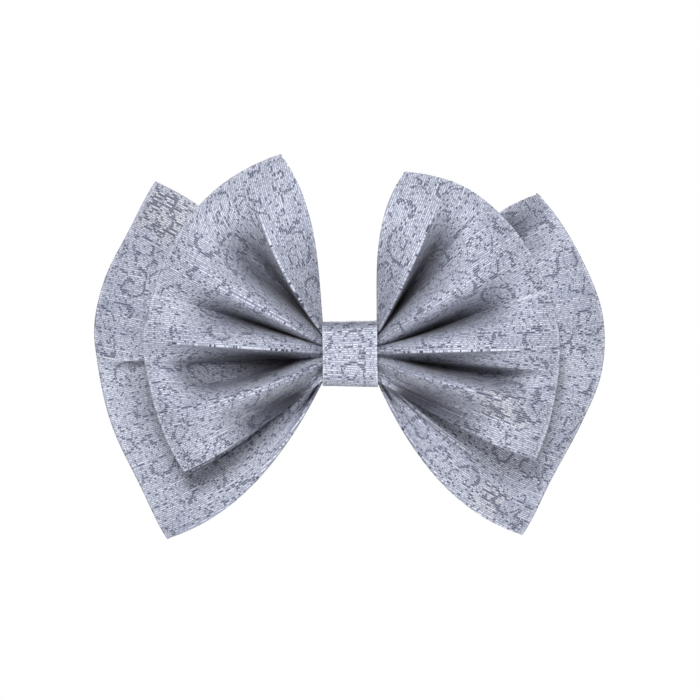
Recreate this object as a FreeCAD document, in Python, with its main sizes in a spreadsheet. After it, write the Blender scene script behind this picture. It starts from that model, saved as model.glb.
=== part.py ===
import FreeCAD, Part
import Sketcher
import math
import os
import re

# Double gift bow: a small folded fabric bow on a larger one, gathered by thread, wrapped by a
# centre band and stuck to a gift by a foam pad on a felt backing.
# +X runs along the bow to its right, +Z is up, and the bow faces -Y.  The origin is the centre
# of the adhesive face, so every piece lies at y <= 0.  Lengths are millimetres, angles degrees.

DRIVING_SIZES = [
    # overall: a wing reaches from the middle of the waist to its folded end
    ("rear_reach", 65.0),
    ("front_reach", 51.6),
    # where the corners of each wing lie on that reach, anticlockwise from +X, seen from the front
    ("rear_left_top", 138.5),
    ("rear_left_bottom", 225.3),
    ("rear_right_top", 40.5),
    ("rear_right_bottom", -46.4),
    ("front_left_top", 109.2),
    ("front_left_bottom", 215.2),
    ("front_right_top", 73.2),
    ("front_right_bottom", -29.6),
    # how far the cut edges of a wing swell out from the straight line between waist and corner
    ("rear_top_swell", 4.0),
    ("rear_bottom_swell", 6.0),
    ("front_top_swell", 3.0),
    ("front_bottom_swell", 1.7),
    # the loops, seen from above: how far each panel puffs from the line between waist and fold
    ("rear_front_puff", 5.0),
    ("rear_back_puff", 2.0),
    ("front_front_puff", 10.5),
    ("front_back_puff", 0.3),
    ("rear_fold_set", 2.4),
    ("front_fold_lift", 7.5),
    # the fabric: face cloth, interlining and back cloth pressed together
    ("strip_wall", 0.8),
    ("band_wall", 0.9),
    # the gathered waists and the thread wound round each
    ("waist_height", 14.0),
    ("waist_depth", 5.6),
    ("waist_round", 2.4),
    ("run_in", 0.5),
    ("solid_run", 3.5),
    ("thread_size", 0.5),
    ("winding_width", 2.0),
    # the centre band and the stitches that close it at the back
    ("band_width", 14.0),
    ("stitch_count", 5.0),
    ("stitch_length", 3.0),
    ("stitch_size", 0.35),
    ("stitch_margin", 2.0),
    # the backing
    ("felt_length", 34.0),
    ("felt_height", 15.0),
    ("felt_thickness", 1.0),
    ("felt_round", 4.0),
    ("pad_length", 30.0),
    ("pad_height", 12.0),
    ("pad_thickness", 1.2),
    ("pad_round", 2.0),
    # clearance between pieces that lie on each other, and how far a cutter runs past the cloth
    ("fit_gap", 0.05),
    ("cut_margin", 6.0),
]

doc = FreeCAD.newDocument("gift_bow")
sheet = doc.addObject("Spreadsheet::Sheet", "sizes")
for row, (alias, number) in enumerate(DRIVING_SIZES, start=1):
    sheet.set(f"A{row}", alias)
    sheet.set(f"B{row}", str(number))
    sheet.setAlias(f"B{row}", alias)
doc.recompute()

NAMED = {alias: f"sizes.{alias}" for alias, _ in DRIVING_SIZES}


def cells(formula):
    """The formula with each named size written as a reference to its cell."""
    return re.sub("[a-z_]+", lambda word: NAMED.get(word[0], word[0]), formula)


def value(formula):
    """What a formula comes to now, in millimetres or degrees."""
    return float(sheet.evalExpression(cells(formula)))


def bind(target, path, formula):
    """Tie a property of an object to a formula of named sizes."""
    target.setExpression(path, cells(formula))


# The stack along Y, from the adhesive face forwards.  Each place follows from the one behind it.
FELT_BACK = "( 0 - pad_thickness )"
FELT_FRONT = f"( {FELT_BACK} - felt_thickness )"
BAND_BACK = f"( {FELT_FRONT} - stitch_size )"
BAND_INSIDE_BACK = f"( {BAND_BACK} - band_wall )"
REAR_BACK = f"( {BAND_INSIDE_BACK} - fit_gap - thread_size )"
REAR_FRONT = f"( {REAR_BACK} - waist_depth )"
FRONT_BACK = f"( {REAR_FRONT} - thread_size - fit_gap - thread_size )"
FRONT_FRONT = f"( {FRONT_BACK} - waist_depth )"
BAND_INSIDE_FRONT = f"( {FRONT_FRONT} - thread_size - fit_gap )"
BAND_FRONT = f"( {BAND_INSIDE_FRONT} - band_wall )"
REAR_FOLD = f"( {REAR_BACK} - rear_fold_set )"
REAR_CREST = f"( ( {REAR_FRONT} + {REAR_FOLD} ) / 2 - rear_front_puff )"
FRONT_FOLD = f"( {REAR_CREST} - front_fold_lift )"
HALF_WAIST = "( waist_height / 2 )"
HALF_BAND = "( band_width / 2 )"
SIDE_OF_BAND = f"( {HALF_BAND} + fit_gap )"
FAN_START = f"( {SIDE_OF_BAND} - run_in )"
HOLLOW_START = f"( {SIDE_OF_BAND} + solid_run )"
THREAD_ROUND = "( waist_round + thread_size )"
BAND_INSIDE_ROUND = f"( {THREAD_ROUND} + fit_gap )"
BAND_INSIDE_HALF = f"( {HALF_WAIST} + thread_size + fit_gap )"


def arc_radius(start, end, rise):
    """Formula for the radius of an arc whose middle rises that far off its chord."""
    across = f"( {end[0]} - {start[0]} )"
    along = f"( {end[1]} - {start[1]} )"
    chord_squared = f"( {across} * {across} + {along} * {along} )"
    return f"( ( {chord_squared} / 4 + {rise} * {rise} ) / ( 2 * {rise} ) )"


def midpoint_of_arc(start, end, rise, left):
    """The middle of that arc, on the left or the right of the way from start to end."""
    chord = end.sub(start)
    side = FreeCAD.Vector(-chord.y, chord.x, 0)
    side.normalize()
    return start.add(end).multiply(0.5).add(side.multiply(rise if left else -rise))


def vector(point):
    """A point given by two formulas, as a vector of the sketch."""
    return FreeCAD.Vector(value(point[0]), value(point[1]), 0)


def end_at(sketch, edge, place):
    """Which end of an edge, 1 or 2, is the one at that place."""
    gaps = [sketch.getPoint(edge, end).sub(place).Length for end in (1, 2)]
    return 1 + gaps.index(min(gaps))


def fix_point(sketch, edge, end, point):
    """Hold an end of an edge at a point given by two formulas."""
    for kind, formula in zip(("DistanceX", "DistanceY"), point):
        index = sketch.addConstraint(
            Sketcher.Constraint(kind, -1, 1, edge, end, value(formula)))
        bind(sketch, f"Constraints[{index}]", formula)


def fix_radius(sketch, edge, formula):
    """Hold the radius of an arc at a formula."""
    index = sketch.addConstraint(Sketcher.Constraint("Radius", edge, value(formula)))
    bind(sketch, f"Constraints[{index}]", formula)


def draw_outline(sketch, corners):
    """Draw one closed outline.  A corner is (x, y) with what follows it: nothing for a straight
    edge, or (rise, left) for an arc to the next corner.  Returns the numbers of the edges."""
    edges = []
    following = corners[1:] + corners[:1]
    for (here, bow), (there, _) in zip(corners, following):
        start, end = vector(here), vector(there)
        if bow is None:
            edges.append(sketch.addGeometry(Part.LineSegment(start, end), False))
            continue
        rise, left = bow
        middle = midpoint_of_arc(start, end, value(rise), left)
        edge = sketch.addGeometry(Part.Arc(start, middle, end), False)
        fix_radius(sketch, edge, arc_radius(here, there, rise))
        edges.append(edge)
    for number, (here, _) in enumerate(corners):
        edge, last = edges[number], edges[number - 1]
        place = vector(here)
        end = end_at(sketch, edge, place)
        sketch.addConstraint(
            Sketcher.Constraint("Coincident", last, end_at(sketch, last, place), edge, end))
        fix_point(sketch, edge, end, here)
    return edges


def plain(*points):
    """Corners of an outline with straight edges."""
    return [(point, None) for point in points]


def rectangle(low_x, high_x, low_y, high_y):
    """Corners of a rectangle between four formulas."""
    return plain((low_x, low_y), (high_x, low_y), (high_x, high_y), (low_x, high_y))


def rounded_rectangle(low_x, high_x, low_y, high_y, radius):
    """Corners of a rectangle whose corners are quarter circles."""
    rise = (f"( {radius} * ( 1 - sqrt(0.5) ) )", False)
    left, right = f"( {low_x} + {radius} )", f"( {high_x} - {radius} )"
    under, over = f"( {low_y} + {radius} )", f"( {high_y} - {radius} )"
    return [((left, low_y), None), ((right, low_y), rise),
            ((high_x, under), None), ((high_x, over), rise),
            ((right, high_y), None), ((left, high_y), rise),
            ((low_x, over), None), ((low_x, under), rise)]


def add_sketch(body, name, plane):
    """A sketch on one of the body's own origin planes."""
    sketch = body.newObject("Sketcher::SketchObject", name)
    face = next(item for item in body.Origin.OriginFeatures if item.Role == plane)
    sketch.AttachmentSupport = [(face, "")]
    sketch.MapMode = "FlatFace"
    return sketch


def add_pad(body, sketch, name, length):
    """A pad of that whole length, half of it on each side of the sketch."""
    pad = body.newObject("PartDesign::Pad", name)
    pad.Profile = sketch
    pad.SideType = "Symmetric"
    bind(pad, "Length", length)
    sketch.Visibility = False
    return pad


def add_pocket(body, sketch, name, length):
    """A cut of that whole length, half on each side, that is known to take cloth away."""
    doc.recompute()
    before = body.Shape.Volume
    pocket = body.newObject("PartDesign::Pocket", name)
    pocket.Profile = sketch
    pocket.SideType = "Symmetric"
    bind(pocket, "Length", length)
    doc.recompute()
    if not body.Shape.Volume < before:
        raise RuntimeError(f"{name} cuts nothing")
    return pocket


def new_body(name):
    """A body whose label names its file."""
    body = doc.addObject("PartDesign::Body", name)
    body.Label = name
    return body


# --- The two bows -------------------------------------------------------------------------


def circle_through(start, end, middle):
    """Centre and radius of the circle through three points."""
    circle = Part.Arc(start, middle, end).toShape().Curve
    return circle.Center, circle.Radius


def crossing(centre_a, radius_a, centre_b, radius_b):
    """Where two circles cross furthest from the waist."""
    gap = centre_b.sub(centre_a)
    distance = gap.Length
    along = (radius_a ** 2 - radius_b ** 2 + distance ** 2) / (2 * distance)
    aside = math.sqrt(radius_a ** 2 - along ** 2)
    gap.normalize()
    across = FreeCAD.Vector(-gap.y, gap.x, 0)
    foot = centre_a.add(FreeCAD.Vector(gap).multiply(along))
    points = [foot.add(FreeCAD.Vector(across).multiply(side * aside)) for side in (1, -1)]
    return max(points, key=lambda point: point.x)


def on_circle(centre, radius, x, forward):
    """The point of a circle at that x, on its forward (-Y) or backward side."""
    rise = math.sqrt(radius ** 2 - (x - centre.x) ** 2)
    return FreeCAD.Vector(x, centre.y - rise if forward else centre.y + rise, 0)


def draw_loop_section(sketch, waist_front, waist_back, fold, reach, front_puff, back_puff):
    """Half of a loop seen from above: an outer lens from the waist to the fold, and inside it
    the hollow, one cloth thickness in, that starts where the waist stops being solid."""
    front = (FAN_START, waist_front)
    back = (FAN_START, waist_back)
    tip = (reach, fold)
    outer = draw_outline(sketch, [(front, (front_puff, False)), (tip, (back_puff, False)),
                                  (back, None)])
    front_circle = circle_through(vector(front), vector(tip), midpoint_of_arc(
        vector(front), vector(tip), value(front_puff), False))
    back_circle = circle_through(vector(tip), vector(back), midpoint_of_arc(
        vector(tip), vector(back), value(back_puff), False))
    wall = value("strip_wall")
    front_inner = (front_circle[0], front_circle[1] - wall)
    back_inner = (back_circle[0], back_circle[1] - wall)
    inner_tip = crossing(*front_inner, *back_inner)
    hollow_start = value(HOLLOW_START)
    inner_front = on_circle(*front_inner, hollow_start, True)
    inner_back = on_circle(*back_inner, hollow_start, False)
    edges = [sketch.addGeometry(Part.LineSegment(inner_back, inner_front), False)]
    for (centre, radius), begin, forward in ((front_inner, inner_front, True),
                                             (back_inner, inner_back, False)):
        middle = on_circle(centre, radius, (begin.x + inner_tip.x) / 2, forward)
        edges.append(sketch.addGeometry(Part.Arc(begin, middle, inner_tip), False))
    closing, front_arc, back_arc = edges
    ends = [(closing, front_arc, inner_front), (closing, back_arc, inner_back),
            (front_arc, back_arc, inner_tip)]
    for edge_a, edge_b, place in ends:
        sketch.addConstraint(Sketcher.Constraint(
            "Coincident", edge_a, end_at(sketch, edge_a, place),
            edge_b, end_at(sketch, edge_b, place)))
    sketch.addConstraint(Sketcher.Constraint("Vertical", closing))
    index = sketch.addConstraint(Sketcher.Constraint(
        "DistanceX", -1, 1, closing, 1, hollow_start))
    bind(sketch, f"Constraints[{index}]", HOLLOW_START)
    for inner, same, start, end, puff in ((front_arc, outer[0], front, tip, front_puff),
                                          (back_arc, outer[1], tip, back, back_puff)):
        sketch.addConstraint(Sketcher.Constraint("Coincident", inner, 3, same, 3))
        fix_radius(sketch, inner, f"( {arc_radius(start, end, puff)} - strip_wall )")


def corner_of_wing(reach, angle):
    """A corner of a wing, on its reach at that angle."""
    return (f"( {reach} * cos( {angle} ) )", f"( {reach} * sin( {angle} ) )")


def notch(reach, left_angle, right_angle, swell, upwards):
    """The open space between the left and the right wing, above or below the band."""
    sign = "" if upwards else "-1 * "
    beside_waist = f"( {sign}{HALF_WAIST} )"
    beyond = f"( {sign}( {reach} + cut_margin ) )"
    left_corner = corner_of_wing(reach, left_angle)
    right_corner = corner_of_wing(reach, right_angle)
    return [((f"( -1 * {SIDE_OF_BAND} )", beside_waist), (swell, not upwards)),
            (left_corner, None),
            ((left_corner[0], beyond), None),
            ((right_corner[0], beyond), None),
            (right_corner, (swell, not upwards)),
            ((SIDE_OF_BAND, beside_waist), None)]


def waist_section(back, front, swelling="0", radius="waist_round"):
    """The gathered waist seen along X, grown all round by a swelling."""
    return rounded_rectangle(f"( {front} - {swelling} )", f"( {back} + {swelling} )",
                             f"( 0 - {HALF_WAIST} - {swelling} )",
                             f"( {HALF_WAIST} + {swelling} )", radius)


def make_bow(name, reach, waist_back, waist_front, fold, puffs, angles, swells):
    """A folded strip: two hollow wings spread like fans from a waist squeezed by the band."""
    body = new_body(name)
    section = add_sketch(body, f"{name}_loop_section", "XY_Plane")
    draw_loop_section(section, waist_front, waist_back, fold, reach, *puffs)
    fan = body.newObject("PartDesign::Revolution", f"{name}_fan")
    fan.Profile = section
    fan.ReferenceAxis = (section, ["V_Axis"])
    fan.Angle = 360
    core = add_sketch(body, f"{name}_waist_section", "YZ_Plane")
    draw_outline(core, waist_section(waist_back, waist_front))
    add_pad(body, core, f"{name}_waist", f"2 * {SIDE_OF_BAND}")
    channel = add_sketch(body, f"{name}_band_channel", "YZ_Plane")
    draw_outline(channel, waist_section(waist_back, waist_front))
    past = f"( {reach} + cut_margin )"
    draw_outline(channel, rectangle(f"( -1 * {past} )", past, f"( -1 * {past} )", past))
    add_pocket(body, channel, f"{name}_band_channel_cut", f"2 * {SIDE_OF_BAND}")
    left_top, right_top, left_bottom, right_bottom = angles
    for place, left, right, swell in (("upper", left_top, right_top, swells[0]),
                                      ("lower", left_bottom, right_bottom, swells[1])):
        opening = add_sketch(body, f"{name}_{place}_notch", "XZ_Plane")
        draw_outline(opening, notch(reach, left, right, swell, place == "upper"))
        add_pocket(body, opening, f"{name}_{place}_notch_cut", f"2 * {past}")
    return body


rear_bow = make_bow(
    "rear_bow", "rear_reach", REAR_BACK, REAR_FRONT, REAR_FOLD,
    ("rear_front_puff", "rear_back_puff"),
    ("rear_left_top", "rear_right_top", "rear_left_bottom", "rear_right_bottom"),
    ("rear_top_swell", "rear_bottom_swell"))
front_bow = make_bow(
    "front_bow", "front_reach", FRONT_BACK, FRONT_FRONT, FRONT_FOLD,
    ("front_front_puff", "front_back_puff"),
    ("front_left_top", "front_right_top", "front_left_bottom", "front_right_bottom"),
    ("front_top_swell", "front_bottom_swell"))


# --- Gathering threads --------------------------------------------------------------------


def make_winding(name, waist_back, waist_front):
    """Thread wound round a waist under the band: one closed ring of the winding's outer shape."""
    body = new_body(name)
    sketch = add_sketch(body, f"{name}_section", "YZ_Plane")
    draw_outline(sketch, waist_section(waist_back, waist_front))
    draw_outline(sketch, waist_section(waist_back, waist_front, "thread_size", THREAD_ROUND))
    add_pad(body, sketch, f"{name}_ring", "winding_width")
    return body


rear_waist_thread = make_winding("rear_waist_thread", REAR_BACK, REAR_FRONT)
front_waist_thread = make_winding("front_waist_thread", FRONT_BACK, FRONT_FRONT)


# --- Centre band and its stitches ---------------------------------------------------------


def make_band():
    """The strip that wraps both waists, its ends sewn together behind."""
    body = new_body("centre_band")
    sketch = add_sketch(body, "band_section", "YZ_Plane")
    draw_outline(sketch, rounded_rectangle(
        BAND_INSIDE_FRONT, BAND_INSIDE_BACK,
        f"( -1 * {BAND_INSIDE_HALF} )", BAND_INSIDE_HALF, BAND_INSIDE_ROUND))
    outer_half = f"( {BAND_INSIDE_HALF} + band_wall )"
    draw_outline(sketch, rounded_rectangle(
        BAND_FRONT, BAND_BACK, f"( -1 * {outer_half} )", outer_half,
        f"( {BAND_INSIDE_ROUND} + band_wall )"))
    add_pad(body, sketch, "band_loop", "band_width")
    return body


def make_stitches():
    """A row of upright stitches across the band's closing edge, behind the waist."""
    count = int(value("stitch_count"))
    stitches = []
    for number in range(count):
        stitch = doc.addObject("Part::Box", f"stitch_{number + 1}")
        bind(stitch, "Length", "stitch_size")
        bind(stitch, "Width", "stitch_size")
        bind(stitch, "Height", "stitch_length")
        run = "( band_width - 2 * stitch_margin - stitch_size )"
        start = f"( stitch_margin - {HALF_BAND} )"
        bind(stitch, "Placement.Base.x", f"{start} + {run} * {number} / ( stitch_count - 1 )")
        bind(stitch, "Placement.Base.y", BAND_BACK)
        bind(stitch, "Placement.Base.z", "0 - stitch_length / 2")
        stitches.append(stitch)
    row = doc.addObject("Part::Compound", "band_stitches")
    row.Links = stitches
    row.Label = "band_stitches"
    return row


centre_band = make_band()
band_stitches = make_stitches()


# --- Backing ------------------------------------------------------------------------------


def make_plate(name, length, height, thickness, radius, back):
    """A flat rounded piece of the backing whose rear face lies at back."""
    body = new_body(name)
    sketch = add_sketch(body, f"{name}_outline", "XZ_Plane")
    draw_outline(sketch, rounded_rectangle(
        f"( 0 - {length} / 2 )", f"( {length} / 2 )",
        f"( 0 - {height} / 2 )", f"( {height} / 2 )", radius))
    add_pad(body, sketch, f"{name}_plate", thickness)
    bind(body, "Placement.Base.y", f"{back} - {thickness} / 2")
    return body


felt_backing = make_plate("felt_backing", "felt_length", "felt_height", "felt_thickness",
                          "felt_round", FELT_BACK)
adhesive_pad = make_plate("adhesive_pad", "pad_length", "pad_height", "pad_thickness",
                          "pad_round", "0")


# --- Check and write ----------------------------------------------------------------------

NODES = [rear_bow, front_bow, rear_waist_thread, front_waist_thread, centre_band,
         band_stitches, felt_backing, adhesive_pad]

doc.recompute()
for item in doc.Objects:
    if {"Invalid", "Error"} & set(item.State):
        raise RuntimeError(f"{item.Name} failed: {item.State}")
for node in NODES:
    if node.Shape.isNull() or not node.Shape.isValid() or not node.Shape.Solids:
        raise RuntimeError(f"{node.Label} is not a good solid")

os.makedirs("parts", exist_ok=True)
for node in NODES:
    node.Shape.exportStep(f"parts/{node.Label}.step")
    box = node.Shape.BoundBox
    print(f"{node.Label}: {len(node.Shape.Solids)} solid, {node.Shape.Volume:.1f} mm3, "
          f"x {box.XMin:.1f} to {box.XMax:.1f}, y {box.YMin:.1f} to {box.YMax:.1f}, "
          f"z {box.ZMin:.1f} to {box.ZMax:.1f}")
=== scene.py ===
# %% [markdown]
# # A double gift bow
# This lesson builds a ready-made gift bow: a small folded bow on a larger one, both of the same
# silver-blue jacquard, held by a centre band and backed with felt and a foam adhesive pad.
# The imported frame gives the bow's place and overall size, so we load it first and never move it.

# %% Load the frame
import math
from collections import namedtuple

import bmesh
import bpy
import numpy as np
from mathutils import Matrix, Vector


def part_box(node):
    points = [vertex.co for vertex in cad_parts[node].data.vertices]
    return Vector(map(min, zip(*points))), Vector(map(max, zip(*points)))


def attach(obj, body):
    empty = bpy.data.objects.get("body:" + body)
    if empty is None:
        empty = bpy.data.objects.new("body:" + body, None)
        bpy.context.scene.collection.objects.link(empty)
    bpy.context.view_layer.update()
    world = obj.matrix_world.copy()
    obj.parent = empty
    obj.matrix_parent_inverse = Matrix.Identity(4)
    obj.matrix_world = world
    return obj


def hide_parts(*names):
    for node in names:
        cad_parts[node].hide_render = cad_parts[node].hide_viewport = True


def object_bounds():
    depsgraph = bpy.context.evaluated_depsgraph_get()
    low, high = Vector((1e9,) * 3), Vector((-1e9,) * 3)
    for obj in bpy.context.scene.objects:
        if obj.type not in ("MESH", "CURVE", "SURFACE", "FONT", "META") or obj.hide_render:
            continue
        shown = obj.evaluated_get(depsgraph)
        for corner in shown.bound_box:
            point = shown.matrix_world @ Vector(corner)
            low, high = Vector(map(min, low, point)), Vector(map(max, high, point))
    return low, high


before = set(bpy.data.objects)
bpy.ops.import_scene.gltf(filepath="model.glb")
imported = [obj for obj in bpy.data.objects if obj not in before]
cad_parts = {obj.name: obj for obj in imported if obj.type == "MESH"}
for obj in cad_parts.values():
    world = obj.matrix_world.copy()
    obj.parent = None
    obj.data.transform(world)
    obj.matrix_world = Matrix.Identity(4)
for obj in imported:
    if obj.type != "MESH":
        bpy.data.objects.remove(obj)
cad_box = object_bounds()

MM = 0.001
scene = bpy.context.scene
print("nodes:", sorted(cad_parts))


def node_box(node):
    """Lowest and highest corner of a frame node, in millimetres, as arrays."""
    low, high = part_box(node)
    return np.array(low) / MM, np.array(high) / MM


# %% [markdown]
# ## Camera, light and floor
# The bow is looked at square on, with a long lens so that its wings keep their proportions.
# It faces -Y.  Three square soft lights do the work: one from above and in front models the
# pleats, a weaker one from below fills the undersides, and one behind shows the back.
#
# The surround adds soft light, a little stronger from above.  The Light Path node picks out the
# rays that come straight from the camera, and they see plain white.  The pale floor is a small
# disc well below the bow, which only higher viewpoints show.

# %% Camera and studio
bow_low, bow_high = (np.array(corner) for corner in cad_box)
bow_middle = (bow_low + bow_high) / 2
LENS_MM = 100.0
SENSOR_MM = 36.0
VIEW_WIDTH_M = 0.1755
LOOK_AT = (0.0, 0.001)
AMBIENT = (0.43, 0.54)


def add_camera():
    """A square-on camera far enough away to see VIEW_WIDTH_M across the bow."""
    data = bpy.data.cameras.new("studio_camera")
    data.lens = LENS_MM
    data.sensor_width = SENSOR_MM
    camera = bpy.data.objects.new("studio_camera", data)
    distance = VIEW_WIDTH_M * LENS_MM / SENSOR_MM
    camera.location = (LOOK_AT[0], bow_middle[1] - distance, LOOK_AT[1])
    camera.rotation_euler = (math.pi / 2, 0, 0)
    scene.collection.objects.link(camera)
    scene.camera = camera


def add_light(name, place, size, watts, target=(0.0, -0.01, 0.0)):
    """A square soft light aimed at the bow."""
    data = bpy.data.lights.new(name, "AREA")
    data.size = size
    data.energy = watts
    light = bpy.data.objects.new(name, data)
    light.location = place
    aim = Vector(target) - Vector(place)
    light.rotation_euler = aim.to_track_quat("-Z", "Y").to_euler()
    scene.collection.objects.link(light)


def add_floor(drop=0.2, reach=0.3, dish=0.02, steps=24):
    """A round pale floor, low and small enough to stay out of the square-on view."""
    mesh = bpy.data.meshes.new("pale_floor")
    height = bow_low[2] - drop
    points, faces = [], []
    for ring in range(steps + 1):
        radius = reach * (ring / steps) ** 2
        for turn in range(steps):
            angle = 2 * math.pi * turn / steps
            points.append((radius * math.cos(angle), radius * math.sin(angle),
                           height - dish * (radius / reach) ** 2))
    for ring in range(steps):
        for turn in range(steps):
            here, after = ring * steps + turn, ring * steps + (turn + 1) % steps
            faces.append((here, after, after + steps, here + steps))
    mesh.from_pydata(points, [], faces)
    floor = bpy.data.objects.new("pale_floor", mesh)
    scene.collection.objects.link(floor)
    return floor


add_camera()
add_light("key_light", (-0.08, -0.90, 0.40), 0.30, 17.5)
add_light("low_fill", (0.30, -0.80, -0.55), 0.50, 5.0)
add_light("back_light", (0.25, 0.95, 0.45), 0.60, 14.0)
floor = add_floor()

world = bpy.data.worlds.new("studio_world")
scene.world = world
world.use_nodes = True
surround = world.node_tree.nodes["Background"]
surround.inputs["Color"].default_value = (1.0, 1.0, 1.0, 1.0)


def world_node(kind, inputs):
    """A world node with some of its inputs, by number, set or linked."""
    made = world.node_tree.nodes.new(kind)
    for number, term in inputs.items():
        socket = made.inputs[number]
        if isinstance(term, bpy.types.NodeSocket):
            world.node_tree.links.new(term, socket)
        else:
            socket.default_value = term
    return made


VALUE, FROM_LOW, FROM_HIGH, TO_LOW, TO_HIGH = range(5)
direction = world_node("ShaderNodeTexCoord", {}).outputs["Generated"]
upward = world_node("ShaderNodeSeparateXYZ", {VALUE: direction}).outputs["Z"]
soft = world_node("ShaderNodeMapRange", {VALUE: upward, FROM_LOW: -0.5, FROM_HIGH: 0.7,
                                         TO_LOW: AMBIENT[0], TO_HIGH: AMBIENT[1]})
to_camera = world_node("ShaderNodeLightPath", {}).outputs["Is Camera Ray"]
level = world_node("ShaderNodeMapRange", {VALUE: to_camera, TO_LOW: soft.outputs[0],
                                          TO_HIGH: 1.0})
world.node_tree.links.new(level.outputs[0], surround.inputs["Strength"])
scene.view_settings.view_transform = "Standard"
print("camera", [round(value, 3) for value in scene.camera.location])

# %% [markdown]
# ## Helpers for materials
# Every finish here is made of a few repeating sums, so `Weave` holds a material's node tree and
# chains maths nodes, which keeps the node code as readable as a formula.

# %% Node helpers


class Weave:
    """A material whose nodes are written as sums."""

    def __init__(self, name):
        self.material = bpy.data.materials.new(name)
        self.material.use_nodes = True
        self.tree = self.material.node_tree
        self.shader = self.tree.nodes["Principled BSDF"]

    def node(self, kind, **settings):
        """A new node with some of its properties set."""
        made = self.tree.nodes.new(kind)
        for key, setting in settings.items():
            setattr(made, key, setting)
        return made

    def put(self, socket, value):
        """Link a socket to another, or set its number."""
        if isinstance(value, bpy.types.NodeSocket):
            self.tree.links.new(value, socket)
        else:
            socket.default_value = value

    def sum(self, operation, *terms):
        """One maths node."""
        made = self.node("ShaderNodeMath", operation=operation)
        for socket, term in zip(made.inputs, terms):
            self.put(socket, term)
        return made.outputs[0]

    def step(self, value, low, high):
        """0 below low, 1 above high, smooth between."""
        made = self.node("ShaderNodeMapRange", interpolation_type="SMOOTHSTEP")
        for socket, term in zip(made.inputs[:3], (value, low, high)):
            self.put(socket, term)
        return made.outputs[0]

    def point(self, x, y, z=0.0):
        """A vector from three numbers or sockets."""
        made = self.node("ShaderNodeCombineXYZ")
        for socket, term in zip(made.inputs, (x, y, z)):
            self.put(socket, term)
        return made.outputs[0]

    def noise(self, place, scale, detail=2.0, roughness=0.5, distortion=0.0):
        """Soft noise from 0 to 1 at a place."""
        made = self.node("ShaderNodeTexNoise")
        self.put(made.inputs["Vector"], place)
        for key, term in (("Scale", scale), ("Detail", detail), ("Roughness", roughness),
                          ("Distortion", distortion)):
            self.put(made.inputs[key], term)
        return made.outputs["Fac"]

    def mix(self, share, dark, light):
        """A colour between two, by a share."""
        made = self.node("ShaderNodeMix", data_type="RGBA")
        for index, term in ((0, share), (6, dark), (7, light)):
            self.put(made.inputs[index], term)
        return made.outputs[2]

    def flat_place(self):
        """The two coordinates of a point on the flat cloth, from the UV map."""
        cloth = self.node("ShaderNodeUVMap", uv_map="cloth")
        parts = self.node("ShaderNodeSeparateXYZ")
        self.put(parts.inputs[0], cloth.outputs[0])
        return parts.outputs[0], parts.outputs[1]

    def attribute(self, name):
        """A number painted on the mesh."""
        return self.node("ShaderNodeAttribute", attribute_name=name).outputs["Fac"]

    def finish(self, **inputs):
        """Set the shader's inputs, with an underscore for each space in a name."""
        for key, term in inputs.items():
            self.put(self.shader.inputs[key.replace("_", " ")], term)

    def bump(self, height, depth_m, strength):
        """Give the shader small relief."""
        made = self.node("ShaderNodeBump")
        made.inputs["Strength"].default_value = strength
        made.inputs["Distance"].default_value = depth_m
        self.put(made.inputs["Height"], height)
        self.put(self.shader.inputs["Normal"], made.outputs["Normal"])


# %% [markdown]
# ## The jacquard
# The cloth is a fine satin whose pattern is made by threads that float on the face.  Pale
# silver threads cover most of it, and short navy floats run along the strip, densest along
# the scrolls of the motif.  A few blocks are woven in longer dashes instead, like a lattice.
# The mesh carries its place on the flat cloth as a UV map in metres, so the pattern follows
# the folds as real weaving does.
#
# Two more numbers are painted on the mesh.  `crease` is a painted highlight: folded edges and
# sharp creases are painted paler, in dots along the weave.  `shade` is painted shade: it darkens
# the cloth deep in a pleat.  It adds painted darkness to the shadow that the modelled pleats cast,
# so it stays there whatever the light.

# %% Jacquard material
THREAD_MM = 0.50
SCROLL_MM = 9.0
SCROLL_WOBBLE_MM = 5.0
SCROLL_TURN_MM = 3.9
# Middle along the strip and across it, then half length and half width, in millimetres.
LATTICE_BLOCKS = [(-64, 206, 8, 6.5), (36, 83, 7, 5.5), (25, 18, 3.5, 3.5), (43, 293, 4, 4)]


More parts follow.
